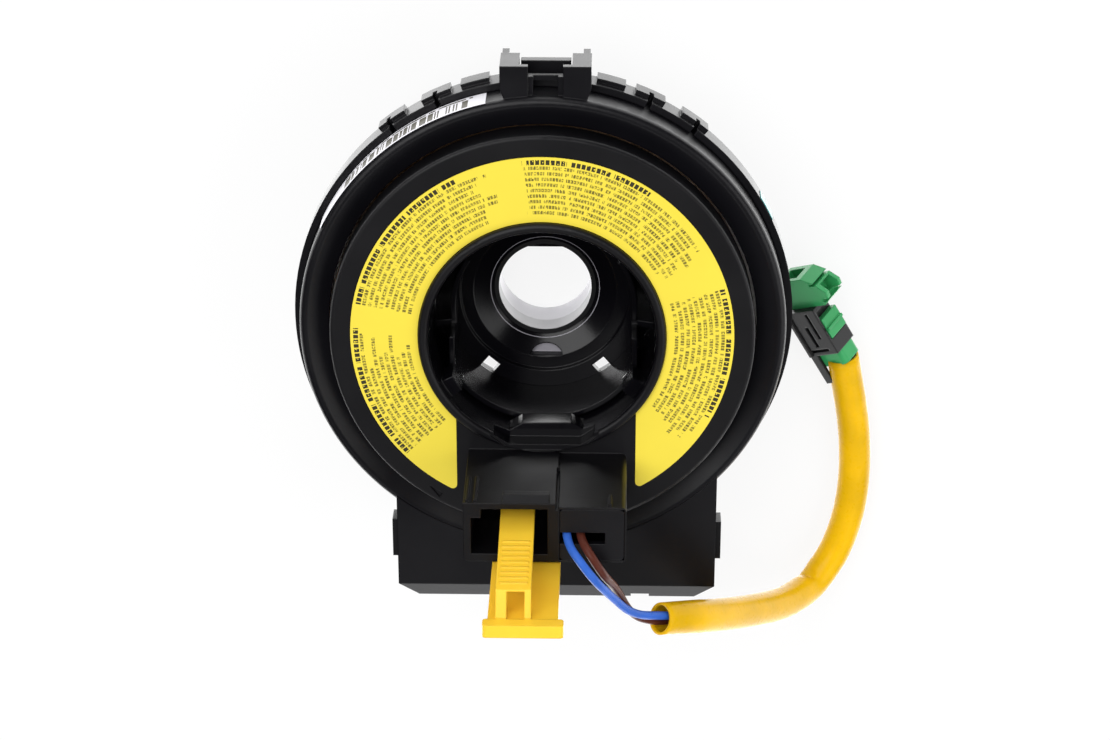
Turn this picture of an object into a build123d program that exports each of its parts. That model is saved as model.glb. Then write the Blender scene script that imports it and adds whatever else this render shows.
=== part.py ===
"""Steering clock spring: a turning disc, hub and socket tower inside a fixed two-part case.

The case holds a coiled flat cable.  The disc turns about the Z axis, two turns each way.
Millimetres, +Z towards the steering wheel, origin on the turning axis at the hub's rear end.
"""
import os
from math import cos, hypot, pi, radians, sin, tan

from build123d import *

os.makedirs("parts", exist_ok=True)

# ------------------------------------------------------------------ driving sizes
# Heights are above the hub's rear end.
face_z = 43.0  # front face of the turning disc

# turning disc, collar and bowl
disc_r = 47.2
disc_t = 2.0
disc_rim_depth = 7.2
disc_rim_t = 1.6
disc_edge_fillet = 0.8
bowl_r = 25.3
bowl_wall = 2.0
collar_r = bowl_r + bowl_wall + 0.2
collar_h = 1.5
bowl_depth = 26.0
hub_low_z = 10.0

# hub core at the bottom of the bowl
core_clear = 0.05
cup_r = bowl_r - 5.3
cup_reach = bowl_r - 1.9
cup_top_drop = cup_r / 5
cup_wall = 1.2
cup_rise = 16.5
cup_floor_t = 2.5
boss_r = cup_r - 0.6
boss_rim = 2.9
rim_dip = 1.2
funnel_drop = 4.0
column_r = 10.7
core_wall = 2.4
foot_r = cup_r - 0.1

# fixed case
ring_gap = 0.6
ring_w = 6.5
ring_outer_r = disc_r + ring_gap + ring_w
ring_drop = 3.5
ring_dish = 2.8
ring_t = 2.0
case_wall = 2.0
rim_r = ring_outer_r + 1.7
rim_drop = 12.0
body_depth = 18.3
cover_t = 2.0
fit_gap = 0.1
bearing_clear = 0.08
bearing_h = 4.0
cable_gate = 8.0  # half the width of the opening the flat cable passes

# terminal box of the case, below the ring
box_left = -33.5
box_right = 39.7
box_reach = 9.8
box_step = 4.0
box_shoulder = -(ring_outer_r + box_reach)
box_low = box_shoulder - box_step
box_corner = 4.6
box_front_drop = 4.0
box_depth = 27.0
box_bevel = 2.4
box_front_t = 2.8

# socket tower on the disc
tower_left = -16.6
tower_right = 19.0
tower_split = 3.9
socket_top = -collar_r + 0.1
lead_top = socket_top - 0.8
tower_low = lead_top - 13.4
tower_h = 27.0
socket_wall = 1.5
socket_depth = 22.0
tower_fillet = 1.2

# lock pin that sits in the socket until the part is fitted
lock_x0 = -10.3
lock_x1 = 4.6
lock_plate_t = 2.5
lock_gap = 0.4
lock_tip_gap = 0.5
lock_reach = 29.0
tip_x0 = -7.5
tip_x1 = 1.7
tip_h = 1.2

# lead wires, sleeve and inflator plug
wire_d = 1.9
sleeve_d = 7.6
sleeve_wall = 0.6
plug_w = 7.0
plug_h = 9.0
plug_roll = 50.0
plug_heading = 121.0

# shared offsets worked out from the sizes above
ring_inner_r = disc_r + ring_gap
ring_z = face_z - ring_drop
rim_z = face_z - rim_drop
cover_z = face_z - body_depth
hub_r = bowl_r + bowl_wall
cup_floor_z = face_z - bowl_depth
core_floor_z = cup_floor_z - cup_floor_t
lock_plate_y1 = tower_low - lock_gap
lock_plate_y0 = lock_plate_y1 - lock_plate_t
box_front_z = face_z - box_front_drop
box_rear_z = face_z - box_depth
tower_z = face_z + tower_h
case_inner_r = ring_outer_r - case_wall
through = 200.0


# ------------------------------------------------------------------ small helpers
def block(x0, x1, y0, y1, z0, z1, mode=Mode.ADD):
    """A box given by its corners, added to the open part."""
    with Locations(((x0 + x1) / 2, (y0 + y1) / 2, (z0 + z1) / 2)):
        Box(x1 - x0, y1 - y0, z1 - z0, mode=mode)


def tube(r_in, r_out, z0, z1, mode=Mode.ADD):
    """A ring about the turning axis between two heights."""
    with BuildSketch(Plane.XY.offset(z0)) as ring:
        Circle(r_out)
        Circle(r_in, mode=Mode.SUBTRACT)
    extrude(ring.sketch, amount=z1 - z0, mode=mode)


def sector(r_in, r_out, start, end, z0, z1, mode=Mode.ADD):
    """A piece of a ring from one angle to another, less than half a turn."""
    reach = 2 * r_out
    angles = [radians(a) for a in (start, (start + end) / 2, end)]
    with BuildSketch(Plane.XY.offset(z0)) as piece:
        Circle(r_out)
        Circle(r_in, mode=Mode.SUBTRACT)
        Polygon((0, 0), *[(reach * cos(a), reach * sin(a)) for a in angles], align=None,
                mode=Mode.INTERSECT)
    extrude(piece.sketch, amount=z1 - z0, mode=mode)


def box_outline():
    """The terminal box seen from the front, with its two cut corners, in the open sketch."""
    Polygon(
        (box_left, -ring_outer_r / 2),
        (box_left, box_shoulder),
        (box_left + box_corner, box_low),
        (box_right - box_corner, box_low),
        (box_right, box_shoulder),
        (box_right, -ring_outer_r / 2),
        align=None,
    )


# ------------------------------------------------------------------ fixed case, front half
seam_z = rim_z
ear_z = face_z - 5.5
ear_t = 1.6
ear_reach = ring_outer_r + 6.7
ear_mid = 0.7
ear_inner = 3.8
ear_outer = 9.9
leg_inner = 5.75
leg_y = ring_outer_r + 2.6
leg_z = 27.8
horn_z = 23.8
horn_w = 1.5
horn_inset = 0.3
bridge_t = 1.2
bridge_y = ring_outer_r + 4.2
bridge_z0 = ear_z - 3.2
rib_t = 1.1
lug_t = 1.3
lug_y0 = box_low + 10.1
lug_y1 = lug_y0 + 9.4
lug_z1 = box_front_z - 2.4
arrow_depth = 0.35
notch_x0 = 20.4
notch_x1 = 24.6
notch_d = 0.9

with BuildPart() as stator_housing:
    with BuildSketch(Plane.XZ):
        with BuildLine():
            Polyline(
                (ring_inner_r, ring_z - ring_dish),
                (ring_outer_r, ring_z),
                (ring_outer_r, cover_z + cover_t),
                (case_inner_r, cover_z + cover_t),
                (case_inner_r, ring_z - ring_t - ring_dish * case_wall / (ring_outer_r - ring_inner_r)),
                (ring_inner_r, ring_z - ring_dish - ring_t),
                close=True,
            )
        make_face()
    revolve(axis=Axis.Z)
    fillet(stator_housing.edges().group_by(Axis.Z)[-1], radius=1.4)
    # terminal box, open at the back
    with BuildSketch(Plane.XY.offset(seam_z)):
        box_outline()
        Circle(ring_outer_r - case_wall / 2, mode=Mode.SUBTRACT)
    extrude(amount=box_front_z - seam_z)
    with BuildSketch(Plane.XY.offset(seam_z)):
        box_outline()
        offset(amount=-case_wall, kind=Kind.INTERSECTION)
        Circle(ring_outer_r, mode=Mode.SUBTRACT)
    extrude(amount=box_front_z - box_front_t - seam_z, mode=Mode.SUBTRACT)
    with BuildSketch(Plane.YZ):
        with BuildLine():
            Polyline(
                (box_shoulder, box_front_z),
                (box_low, box_front_z - box_bevel),
                (box_low - case_wall, box_front_z - box_bevel),
                (box_low - case_wall, box_front_z + case_wall),
                (box_shoulder, box_front_z + case_wall),
                close=True,
            )
        make_face()
    extrude(amount=through, both=True, mode=Mode.SUBTRACT)
    # small step in the box's lower wall
    block(notch_x0, notch_x1, box_low, box_low + notch_d, seam_z, box_front_z, Mode.SUBTRACT)
    # window for the cable through the round wall into the box
    block(-cable_gate, cable_gate, -ring_outer_r - 1, -case_inner_r + 1.5, cover_z + cover_t, rim_z + 4,
          Mode.SUBTRACT)
    # latch lugs on the box sides
    block(box_left - lug_t, box_left, lug_y0, lug_y1, seam_z + 0.6, lug_z1)
    block(box_right, box_right + lug_t, lug_y0, lug_y1, seam_z + 0.6, lug_z1)
    # two ears at the top, each with a square snap leg that points to the rear and ends in a horn
    for side in (-1, 1):
        near = ear_mid + side * ear_inner
        far = ear_mid + side * ear_outer
        with BuildSketch(Plane.XY.offset(ear_z - ear_t)):
            with BuildLine():
                Polyline(
                    (near, case_inner_r),
                    (far - side * 1.4, case_inner_r),
                    (far, ring_outer_r + 1.6),
                    (far, ear_reach),
                    (near, ear_reach),
                    close=True,
                )
            make_face()
            Circle(case_inner_r + case_wall / 2, mode=Mode.SUBTRACT)
        extrude(amount=ear_t)
        left, right = sorted((ear_mid + side * leg_inner, far))
        block(left, right, leg_y, ear_reach, leg_z, ear_z - ear_t / 2)
        with BuildSketch(Plane.YZ.offset(far - side * horn_inset)):
            Polygon((ear_reach, leg_z + 1), (ear_reach - 2.2, leg_z + 1), (ear_reach - 1.4, horn_z + 0.6),
                    (ear_reach - 1.0, horn_z), (ear_reach - 0.4, horn_z), (ear_reach, horn_z + 0.8),
                    align=None)
        extrude(amount=-side * horn_w)
        rib_left, rib_right = sorted((near, near - side * rib_t))
        block(rib_left, rib_right, ring_outer_r - 0.8, bridge_y, bridge_z0, ear_z - ear_t / 2)
    # bar that joins the ears
    block(ear_mid - ear_inner, ear_mid + ear_inner, bridge_y - bridge_t, bridge_y, bridge_z0,
          bridge_z0 + bridge_t)
    # alignment arrow pressed into the ring near the box
    with BuildSketch(Plane.XY.offset(box_front_z - arrow_depth)):
        Polygon((-30.6, -39.4), (-26.6, -42.2), (-27.4, -43.4), align=None)
    extrude(amount=4, mode=Mode.SUBTRACT)
stator_housing.part.label = "stator_housing"
export_step(stator_housing.part, "parts/stator_housing.step")

# ------------------------------------------------------------------ fixed case, rear half
cover_bore_r = hub_r + bearing_clear
collar_wall = 1.8
spigot_t = 1.2
spigot_h = 3.6
tray_inner_y = box_low + 21.1
tab_proud = 1.0
tab_z = rim_z - 1.8
hoop_x0 = ear_mid - leg_inner + 0.3
hoop_x1 = ear_mid + leg_inner - 0.3
hoop_y = rim_r + 4.2
header_y = box_low + 10.6
header_d = 11.5
header_h = 7.8
header_wall = 1.4
header_lip = 1.2
header_recess = 0.8
main_x0 = -26.0
main_x1 = 6.0
aux_x0 = 13.0
aux_x1 = 31.0
header_z = box_rear_z + header_recess
cut_w = 1.1
cut_h = 4.0
hoop_z0 = rim_z - 2.7
hoop_z1 = rim_z - 0.4


def header_opening(x0, x1):
    """A hole in the tray floor that a header's skirt drops through."""
    half = header_d / 2 + fit_gap
    block(x0 - fit_gap, x1 + fit_gap, header_y - half, header_y + half, box_rear_z, box_rear_z + 4,
          Mode.SUBTRACT)


with BuildPart() as rear_cover:
    tube(cover_bore_r, rim_r, cover_z, cover_z + cover_t)
    tube(cover_bore_r, cover_bore_r + collar_wall, cover_z, cover_z + bearing_h)
    tube(ring_outer_r + fit_gap, rim_r, cover_z, rim_z)
    tube(case_inner_r - fit_gap - spigot_t, case_inner_r - fit_gap, cover_z, cover_z + spigot_h)
    # raised pads round the rim, in three pairs either side of the top
    for start, end in ((12.0, 18.5), (21.0, 28.0), (32.5, 39.5)):
        for first in (90 - end, 90 + start):
            sector(rim_r - 0.5, rim_r + tab_proud, first, first + end - start, cover_z, tab_z)
    # saw cuts that free the snap tongues between the pads
    for angle in (24.6, 36.6):
        for side in (-1, 1):
            with Locations(Rotation(0, 0, side * angle) * Location((0, rim_r,
                           rim_z - cut_h / 2 + fit_gap))):
                Box(cut_w, 3 * case_wall, cut_h, mode=Mode.SUBTRACT)
    # hoop behind the bridge
    block(hoop_x0, hoop_x1, rim_r - 0.8, hoop_y, hoop_z0, hoop_z1)
    # tray under the terminal box
    with BuildSketch(Plane.XY.offset(cover_z)):
        box_outline()
        Circle(ring_outer_r + fit_gap, mode=Mode.SUBTRACT)
    extrude(amount=seam_z - cover_z)
    with BuildSketch(Plane.XY.offset(box_rear_z)):
        box_outline()
        with Locations((0, tray_inner_y + through / 2)):
            Rectangle(through, through, mode=Mode.SUBTRACT)
    extrude(amount=cover_z - box_rear_z)
    with BuildSketch(Plane.XY.offset(box_rear_z + cover_t)):
        box_outline()
        with Locations((0, tray_inner_y + through / 2)):
            Rectangle(through, through, mode=Mode.SUBTRACT)
        offset(amount=-case_wall, kind=Kind.INTERSECTION)
    extrude(amount=cover_z - box_rear_z - cover_t, mode=Mode.SUBTRACT)
    with BuildSketch(Plane.XY.offset(cover_z)):
        box_outline()
        offset(amount=-case_wall, kind=Kind.INTERSECTION)
        Circle(ring_outer_r + fit_gap, mode=Mode.SUBTRACT)
    extrude(amount=seam_z - cover_z, mode=Mode.SUBTRACT)
    header_opening(main_x0, main_x1)
    header_opening(aux_x0, aux_x1)
    # the round wall keeps a window for the cable
    block(-cable_gate, cable_gate, -rim_r, -case_inner_r + 3, cover_z + cover_t, rim_z, Mode.SUBTRACT)
rear_cover.part.label = "rear_cover"
export_step(rear_cover.part, "parts/rear_cover.step")


def header_shell(x0, x1):
    """A socket that opens to the rear, with a lip that rests on the tray floor."""
    half = header_d / 2
    block(x0, x1, header_y - half, header_y + half, header_z, header_z + header_h)
    lip = half + header_lip
    lip_z = box_rear_z + cover_t
    block(x0 - header_lip, x1 + header_lip, header_y - lip, header_y + lip, lip_z, lip_z + header_lip)
    inner = half - header_wall
    block(x0 + header_wall, x1 - header_wall, header_y - inner, header_y + inner, header_z,
          header_z + header_h - header_wall, Mode.SUBTRACT)


pin_side = 0.9
pin_l = 5.0
pin_root = 0.6
pin_pitch = 4.2


def header_pins(x0, x1):
    """Two rows of square pins that hang from the socket's inner end."""
    count = int((x1 - x0 - 2 * header_wall) // pin_pitch)
    top = header_z + header_h - header_wall
    with Locations(((x0 + x1) / 2, header_y, top - pin_l / 2 + pin_root)):
        with GridLocations(pin_pitch, pin_pitch, count, 2):
            Box(pin_side, pin_side, pin_l)


with BuildPart() as main_header:
    header_shell(main_x0, main_x1)
main_header.part.label = "main_header"
export_step(main_header.part, "parts/main_header.step")

with BuildPart() as main_header_pins:
    header_pins(main_x0, main_x1)
main_header_pins.part.label = "main_header_pins"
export_step(main_header_pins.part, "parts/main_header_pins.step")

with BuildPart() as inflator_header:
    header_shell(aux_x0, aux_x1)
inflator_header.part.label = "inflator_header"
export_step(inflator_header.part, "parts/inflator_header.step")

with BuildPart() as inflator_header_pins:
    header_pins(aux_x0, aux_x1)
inflator_header_pins.part.label = "inflator_header_pins"
export_step(inflator_header_pins.part, "parts/inflator_header_pins.step")

# ------------------------------------------------------------------ flat cable and its anchors
cable_t = 0.3
cable_inner_gap = 3.7
cable_outer_gap = 3.3
cable_r = hub_r + cable_inner_gap
cable_turns = 6
cable_pitch = (case_inner_r - cable_outer_gap - cable_r) / cable_turns
cable_z = cover_z + cover_t + 0.7
cable_w = 6.4
film_t = 0.4
lead_block_x0 = -24.0
lead_block_x1 = 29.0
lead_block_low = box_low + 4.6
lead_block_y = box_low + 12.6
lead_block_z = header_z + header_h
cable_end_r = cable_r + cable_turns * cable_pitch

with BuildPart() as case_lead_block:
    block(lead_block_x0, lead_block_x1, lead_block_low, lead_block_y, lead_block_z, rim_z + 2.6)
    fillet(case_lead_block.edges().filter_by(Axis.Z), radius=1.0)
case_lead_block.part.label = "case_lead_block"
export_step(case_lead_block.part, "parts/case_lead_block.step")

with BuildPart() as flat_cable:
    # half circles about two centres grow by half a pitch each
    with BuildSketch(Plane(origin=(0, 0, cable_z), x_dir=(0, -1, 0), z_dir=(0, 0, 1))):
        with BuildLine():
            for half_turn in range(2 * cable_turns):
                radius = cable_r + half_turn * cable_pitch / 2
                centre = (half_turn % 2) * cable_pitch / 2
                start = 180 * (half_turn % 2)
                CenterArc((centre, 0), radius - cable_t / 2, start, 180)
                CenterArc((centre, 0), radius + cable_t / 2, start, 180)
            Line((cable_r - cable_t / 2, 0), (cable_r + cable_t / 2, 0))
            Line((cable_end_r - cable_t / 2, 0), (cable_end_r + cable_t / 2, 0))
        make_face()
    extrude(amount=cable_w)
    block(-cable_t / 2, cable_t / 2, lead_block_y, -cable_end_r + cable_t / 2, cable_z, cable_z + cable_w)
flat_cable.part.label = "flat_cable"
export_step(flat_cable.part, "parts/flat_cable.step")

with BuildPart() as lower_film:
    tube(cover_bore_r + collar_wall + 0.3, case_inner_r - fit_gap - spigot_t - 0.3,
         cover_z + cover_t, cover_z + cover_t + film_t)
lower_film.part.label = "lower_film"
export_step(lower_film.part, "parts/lower_film.step")

# ------------------------------------------------------------------ turning disc, bowl and tower
ledge_z = face_z - 3.3
disc_under_z = face_z - disc_t
lead_x0 = tower_split + 0.7
lead_x1 = tower_right - socket_wall
lead_y0 = tower_low + socket_wall
lead_y1 = lead_top - socket_wall
lead_cap_t = 1.6
cap_lip = 0.5
cap_left = tower_split + cap_lip
cap_right = tower_right - cap_lip
cap_low = tower_low + cap_lip
cap_top = lead_top - cap_lip
socket_x0 = tower_left + socket_wall + 0.2
socket_x1 = 1.8
socket_y0 = tower_low + 1.9
socket_y1 = socket_top - 1.35
socket_floor_z = tower_z - socket_depth
key_side = 2.2
groove_w = 0.6
ramp_x0 = -8.0
ramp_w = 10.2
ramp_h = 1.3
rail_h = 0.7
rail_half = 0.35
stop_angles = (207, 323)
stop_span = 10
anchor_angles = (263, 277)
tongue_gap = 0.3

with BuildPart() as rotor_case:
    with BuildSketch(Plane.XZ):
        with BuildLine():
            Polyline(
                (bowl_r, hub_low_z),
                (bowl_r, face_z + collar_h),
                (collar_r, face_z + collar_h),
                (collar_r, face_z),
                (disc_r, face_z),
                (disc_r, face_z - disc_rim_depth),
                (disc_r - disc_rim_t, face_z - disc_rim_depth),
                (disc_r - disc_rim_t, disc_under_z),
                (hub_r, disc_under_z),
                (hub_r, hub_low_z),
                close=True,
            )
        make_face()
    revolve(axis=Axis.Z)
    disc_edge = rotor_case.edges().filter_by(GeomType.CIRCLE).group_by(SortBy.RADIUS)[-1].sort_by(Axis.Z)[-1]
    fillet(disc_edge, radius=disc_edge_fillet)
    fillet(rotor_case.edges().group_by(Axis.Z)[-1], radius=0.9)
    # socket tower: one rounded block, its socket side a little taller
    with BuildSketch(Plane.XY.offset(disc_under_z)):
        with Locations(((tower_left + tower_right) / 2, (tower_low + lead_top) / 2)):
            RectangleRounded(tower_right - tower_left, lead_top - tower_low, tower_fillet)
    extrude(amount=tower_z - disc_under_z)
    block(tower_left, tower_split, socket_top - 3, socket_top, face_z, tower_z)
    # sight groove between the socket side and the lead side
    block(tower_split - groove_w / 2, tower_split + groove_w / 2, lead_top - 0.7, socket_top + 1,
          face_z + 9,
          tower_z, Mode.SUBTRACT)
    # socket
    block(socket_x0, socket_x1, socket_y0, socket_y1, socket_floor_z, tower_z, Mode.SUBTRACT)
    block(socket_x0, socket_x0 + key_side, socket_y1 - key_side, socket_y1, socket_floor_z, tower_z)
    # lead chamber with a seat for its cap
    block(lead_x0, lead_x1, lead_y0, lead_y1, face_z, tower_z, Mode.SUBTRACT)
    block(cap_left, cap_right, cap_low, cap_top, tower_z - lead_cap_t, tower_z, Mode.SUBTRACT)
    # latch ramp and guide rails on the socket's upper wall
    ramp_y = socket_top + ramp_h
    with BuildSketch(Plane.YZ.offset(ramp_x0)):
        Polygon((socket_top - 0.2, tower_z - 0.2), (ramp_y, tower_z - 1.7), (ramp_y, tower_z - 3.6),
                (socket_top - 0.2, tower_z - 3.6), align=None)
    extrude(amount=ramp_w)
    for rail_x in (tower_left + 0.9, tower_left + 2.6):
        block(rail_x - rail_half, rail_x + rail_half, socket_top - 0.3, socket_top + rail_h, tower_z - 12,
              tower_z - 0.4)
    rail_x = tower_right - 3.6
    block(rail_x - rail_half, rail_x + rail_half, lead_top - 0.3, lead_top + rail_h, tower_z - 5,
          tower_z - 0.4)
    # ledge inside the bowl's lower lip, and a six-sided notch in the collar above it
    with BuildSketch(Plane.XY.offset(ledge_z - 5.0)):
        Polygon((-7.7, -27), (-7.7, -24.2), (-4.6, -22.3), (6.4, -22.1), (10.4, -24.2), (10.4, -27),
                align=None)
        Circle(bowl_r + bowl_wall / 2, mode=Mode.INTERSECT)
    extrude(amount=5.0)
    with BuildSketch(Plane.XY.offset(face_z + collar_h - 0.6)):
        Polygon((-12.2, -21), (-11.6, -23.4), (-7.0, -27.0), (8.3, -27.0), (12.4, -23.4), (13.0, -21),
                align=None)
    extrude(amount=5, mode=Mode.SUBTRACT)
    with BuildSketch(Plane.XY.offset(ledge_z)):
        Polygon((-11.0, -20), (-10.8, -23.5), (-7.4, -25.6), (8.7, -25.6), (11.6, -23.5), (11.8, -20),
                align=None)
    extrude(amount=10, mode=Mode.SUBTRACT)
    # two stops inside the bowl, near its mouth
    for start in stop_angles:
        sector(bowl_r - 2.8, bowl_r + 0.6, start, start + stop_span, face_z - 9, face_z - 1.8)
    # anchor for the inner end of the flat cable
    sector(hub_r - 0.5, cable_r - 0.6, *anchor_angles, cover_z + bearing_h + 0.5, disc_under_z)
    # alignment arrow pressed into the disc
    with BuildSketch(Plane.XY.offset(face_z - arrow_depth)):
        Polygon((-25.6, -36.6), (-22.6, -38.6), (-23.3, -39.6), align=None)
    extrude(amount=4, mode=Mode.SUBTRACT)
    # slot for the lock pin's tip
    block(tip_x0 - tongue_gap, tip_x1 + tongue_gap, lock_plate_y0 + 0.3, lock_plate_y1 - 0.1,
          disc_under_z + 0.8,
          face_z + 1, Mode.SUBTRACT)
rotor_case.part.label = "rotor_case"
export_step(rotor_case.part, "parts/rotor_case.step")

# ------------------------------------------------------------------ hub core, cam and films
window_x = 13.4
window_y = -18.6
window_turn = 40
bush_wall = 1.0
bush_r = column_r + bush_wall
bush_z = cup_floor_z - funnel_drop
core_sleeve_t = 1.8
spoke_t = 1.6
boss_floor_t = 2.5
side_wall_h = 9.0
rib_angles = (190, 350)
pocket_y = -16.1
cam_w = 3.7
cam_r = hub_r + cam_w
cam_z = 14.0
cam_lobe = 3.5
cam_lobe_h = 6.0
cam_lobe_span = 40

with BuildPart() as hub_core:
    tube(bush_r, bowl_r - core_clear, core_floor_z, cup_floor_z)
    # boss: an outer skirt and an inner sleeve, joined by the floor
    tube(foot_r - core_wall, foot_r, 0, core_floor_z)
    tube(bush_r, bush_r + core_sleeve_t, 0, core_floor_z)
    # spokes between the two
    for angle in range(30, 360, 60):
        with Locations(Rotation(0, 0, angle) * Location((0, (bush_r + foot_r) / 2, core_floor_z / 2))):
            Box(spoke_t, foot_r - bush_r - core_wall, core_floor_z)
    # funnel that leads into the bore
    with BuildSketch(Plane.XZ):
        with BuildLine():
            Polyline(
                (0, cup_floor_z + 1),
                (boss_r, cup_floor_z + 1),
                (boss_r, cup_floor_z - rim_dip),
                (boss_r - boss_rim, cup_floor_z - rim_dip),
                (bush_r, bush_z),
                (0, bush_z),
                close=True,
            )
        make_face()
    revolve(axis=Axis.Z, mode=Mode.SUBTRACT)
    tube(bush_r, foot_r, bush_z - boss_floor_t, bush_z)
    with BuildSketch(Plane.XZ):
        Polygon((bush_r, bush_z), (boss_r - boss_rim, cup_floor_z - rim_dip),
                (boss_r, cup_floor_z - rim_dip), (boss_r, bush_z), align=None)
    revolve(axis=Axis.Z)
    # two light windows where the cup meets the floor
    for side in (-1, 1):
        with Locations(Location((side * window_x + 0.3, window_y, cup_floor_z), (0, 0, side * window_turn))):
            Box(3.4, 4.4, 3 * cup_floor_t, mode=Mode.SUBTRACT)
    # flat half-round pocket in the funnel's lower side
    with BuildSketch(Plane.XY.offset(bush_z + 0.5)):
        with Locations((0.35, pocket_y)):
            Ellipse(3.65, 2.4)
            Rectangle(9, 4, align=(Align.CENTER, Align.MAX), mode=Mode.SUBTRACT)
    extrude(amount=5, mode=Mode.SUBTRACT)
hub_core.part.label = "hub_core"
export_step(hub_core.part, "parts/hub_core.step")

with BuildPart() as hub_cup:
    # deep cup round the lower half, flat at its two sides
    with BuildSketch(Plane.XY.offset(cup_floor_z)):
        Circle(cup_reach + cup_wall)
        Rectangle(2 * (cup_r + cup_wall), through, mode=Mode.INTERSECT)
        with BuildSketch(mode=Mode.SUBTRACT):
            Circle(cup_reach)
            Rectangle(2 * cup_r, through, mode=Mode.INTERSECT)
        with Locations((0, through / 2 - cup_top_drop)):
            Rectangle(through, through, mode=Mode.SUBTRACT)
    extrude(amount=cup_rise)
    # shorter wall round the sides of the boss, ending at two radial ribs
    for start in (146, -8):
        sector(cup_r, cup_r + cup_wall, start, start + 42, cup_floor_z, cup_floor_z + side_wall_h)
    for angle in rib_angles:
        sector(cup_r + 0.2, bowl_r - core_clear, angle - 2, angle + 2, cup_floor_z,
               cup_floor_z + side_wall_h - 0.6)
hub_cup.part.label = "hub_cup"
export_step(hub_cup.part, "parts/hub_cup.step")

with BuildPart() as column_bush:
    tube(column_r, bush_r, 0, bush_z)
column_bush.part.label = "column_bush"
export_step(column_bush.part, "parts/column_bush.step")

with BuildPart() as cancel_cam:
    tube(hub_r + core_clear, cam_r, cam_z, cover_z - 0.3)
    for middle in (0, 180):
        start = middle - cam_lobe_span / 2
        sector(cam_r - 0.5, cam_r + cam_lobe, start, start + cam_lobe_span, cam_z, cam_z + cam_lobe_h)
    fillet(cancel_cam.edges().filter_by(Axis.Z).filter_by(lambda e: hypot(e.center().X,
           e.center().Y) > cam_r + 3),
           radius=1.2)
cancel_cam.part.label = "cancel_cam"
export_step(cancel_cam.part, "parts/cancel_cam.step")

with BuildPart() as upper_film:
    tube(hub_r + 0.5, disc_r - disc_rim_t - 0.6, disc_under_z - film_t, disc_under_z)
    block(-cable_gate, cable_gate, -cable_r, -hub_r + 1, disc_under_z - 1, disc_under_z + 1, Mode.SUBTRACT)
    block(tower_left - 1, tower_right + 1, -disc_r, -hub_r, disc_under_z - 1, disc_under_z + 1,
          Mode.SUBTRACT)
upper_film.part.label = "upper_film"
export_step(upper_film.part, "parts/upper_film.step")

# ------------------------------------------------------------------ labels and paint
label_gap = 0.1
label_margin = 4.7
label_in_r = collar_r + label_gap
label_out_r = disc_r - label_margin
label_left = tower_left - 2.7
label_right = tower_right + 2.0
label_t = 0.2
film_label_t = 0.15

with BuildPart() as warning_label:
    with BuildSketch(Plane.XY.offset(face_z)):
        Circle(label_out_r)
        Circle(label_in_r, mode=Mode.SUBTRACT)
        with Locations(((label_left + label_right) / 2, -through / 2)):
            Rectangle(label_right - label_left, through, mode=Mode.SUBTRACT)
    extrude(amount=label_t)
    fillet(warning_label.edges().filter_by(Axis.Z).filter_by(lambda e: e.center().Y < -30), radius=1.0)
warning_label.part.label = "warning_label"
export_step(warning_label.part, "parts/warning_label.step")

with BuildPart() as side_label:
    sector(ring_outer_r, ring_outer_r + film_label_t, 103, 154, rim_z + 0.4, ring_z - 1.2)
side_label.part.label = "side_label"
export_step(side_label.part, "parts/side_label.step")

with BuildPart() as paint_mark:
    sector(rim_r, rim_r + film_label_t, 25, 31, cover_z + 1.2, rim_z - 0.4)
paint_mark.part.label = "paint_mark"
export_step(paint_mark.part, "parts/paint_mark.step")

# ------------------------------------------------------------------ tower contents
cap_gap = 0.08
cap_slot_right = 14.3
cap_slot_low = lead_top - 8.9
cap_slot_high = lead_top - 6.1
socket_pin_l = 4.0
socket_pin_w = 0.7
socket_pin_pitch = 2.5
socket_pin_y = tower_low + 3.6
lead_block_h = 17.5
lead_seat_y = lead_top - 5.7

with BuildPart() as lead_cover:
    block(cap_left + cap_gap, cap_right - cap_gap, cap_low + cap_gap, cap_top - cap_gap,
          tower_z - lead_cap_t, tower_z)
    fillet(lead_cover.edges().filter_by(Axis.Z), radius=0.9)
    block(cap_left - 1, cap_slot_right, cap_slot_low, cap_slot_high, tower_z - 2 * lead_cap_t, tower_z + 1,
          Mode.SUBTRACT)
lead_cover.part.label = "lead_cover"
export_step(lead_cover.part, "parts/lead_cover.step")

with BuildPart() as socket_pins:
    with Locations(((socket_x0 + socket_x1) / 2, socket_pin_y,
                   socket_floor_z + socket_pin_l / 2 - pin_root)):
        with GridLocations(socket_pin_pitch, 1, 6, 1):
            Box(pin_side, socket_pin_w, socket_pin_l)
socket_pins.part.label = "socket_pins"
export_step(socket_pins.part, "parts/socket_pins.step")

with BuildPart() as rotor_lead_block:
    block(lead_x0 + 0.2, lead_x1 - 0.2, lead_seat_y, lead_y1 - 0.2, face_z, face_z + lead_block_h)
    fillet(rotor_lead_block.edges().group_by(Axis.Z)[-1], radius=0.5)
rotor_lead_block.part.label = "rotor_lead_block"
export_step(rotor_lead_block.part, "parts/rotor_lead_block.step")

# ------------------------------------------------------------------ lock pin
lock_z1 = tower_z + lock_reach - 3.5
bar_x0 = -11.3
bar_x1 = 5.8
bar_y1 = lock_plate_y1 + 0.4
bar_t = 3.1
arm_x0 = -8.6
arm_x1 = -1.1
arm_window_x0 = -6.3
arm_window_x1 = -2.5
arm_low_z = tower_z - 7.0
arm_high_z = tower_z + 23.0
arm_low_y = socket_top - 4.8
arm_high_y = socket_top - 8.6
leg_root_y = lock_plate_y1 - 1.0
lock_window_z0 = arm_high_z - 7.0
arm_t = 1.4
rib_pitch = 1.9
rib_first_z = tower_z + 5.4
rib_proud = 0.3

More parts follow.
